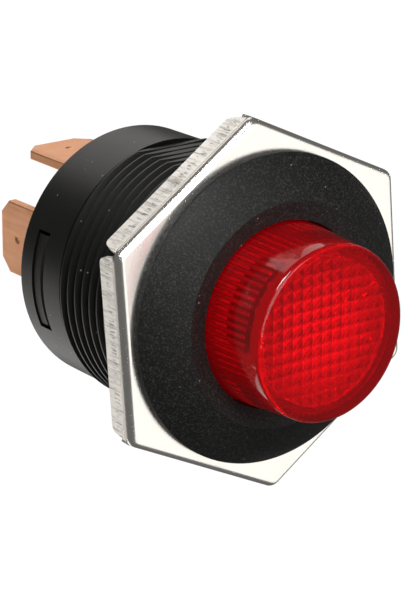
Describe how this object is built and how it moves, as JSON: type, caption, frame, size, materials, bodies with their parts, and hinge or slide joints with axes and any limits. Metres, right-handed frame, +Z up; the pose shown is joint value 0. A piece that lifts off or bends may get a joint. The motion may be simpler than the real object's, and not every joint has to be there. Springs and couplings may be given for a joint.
{
  "type": "industrial push button",
  "caption": "Illuminated panel push button: projecting round red lens in a black bezel, threaded barrel, pressed hexagon nut and rear blade terminals.",
  "frame": {"origin": "on the button's axis, on the rear face of the bezel, which seats on the panel", "axes": "+Z up; the lens faces -Y; the blade terminals point to +Y; +X to the right when seen from the lens side"},
  "size_m": [0.028, 0.0376, 0.0308],
  "materials": {
    "housing_black": "satin, fine grain",
    "base_black": "satin",
    "lens_red": "clear red, polished",
    "diffuser_clear": "clear, prismatic rear",
    "plunger_white": "satin",
    "nut_nickel": "nickel plated, pressed sheet",
    "spring_steel": "drawn wire",
    "blade_copper_alloy": "stamped, bare",
    "bridge_brass": "stamped",
    "contact_silver": "silver alloy, domed",
    "lamp_glass": "clear",
    "lamp_metal": "nickel plated",
    "lamp_wire": "bare wire",
    "lamp_insulator": "moulded"
  },
  "bodies": {
    "barrel": {"barrel_housing": "housing_black", "terminal_base": "base_black", "switch_terminal_left": "blade_copper_alloy", "switch_terminal_right": "blade_copper_alloy", "lamp_terminal_upper": "blade_copper_alloy", "lamp_terminal_lower": "blade_copper_alloy", "fixed_contact_left": "contact_silver", "fixed_contact_right": "contact_silver", "lamp_shell_strip": "bridge_brass", "lamp_tip_strip": "bridge_brass", "lamp_glass": "lamp_glass", "lamp_stem": "lamp_glass", "lamp_filament": "lamp_wire", "filament_support_left": "lamp_wire", "filament_support_right": "lamp_wire", "lamp_shell": "lamp_metal", "lamp_insulator": "lamp_insulator", "lamp_tip": "lamp_metal", "return_spring": "spring_steel"},
    "button": {"lens_cap": "lens_red", "diffuser": "diffuser_clear", "plunger": "plunger_white", "contact_spring": "spring_steel"},
    "bridge": {"contact_bridge": "bridge_brass", "moving_contact_left": "contact_silver", "moving_contact_right": "contact_silver"},
    "nut": {"mounting_nut": "nut_nickel"}
  },
  "joints": [
    {"name": "button_press", "type": "slide", "parent": "barrel", "child": "button", "axis": [0, 1, 0], "range_m": [0, 0.003], "stiffness_N_per_m": 500, "springref_m": -0.003, "deforming": ["return_spring", "contact_spring"]},
    {"name": "bridge_slide", "type": "slide", "parent": "barrel", "child": "bridge", "axis": [0, 1, 0], "range_m": [0, 0.0022]},
    {"name": "nut_travel", "type": "slide", "parent": "barrel", "child": "nut", "axis": [0, 1, 0], "range_m": [0, 0.01]}
  ],
  "couplings": [
    {"joint": "bridge_slide", "follows": "button_press", "ratio": 0.7333}
  ]
}
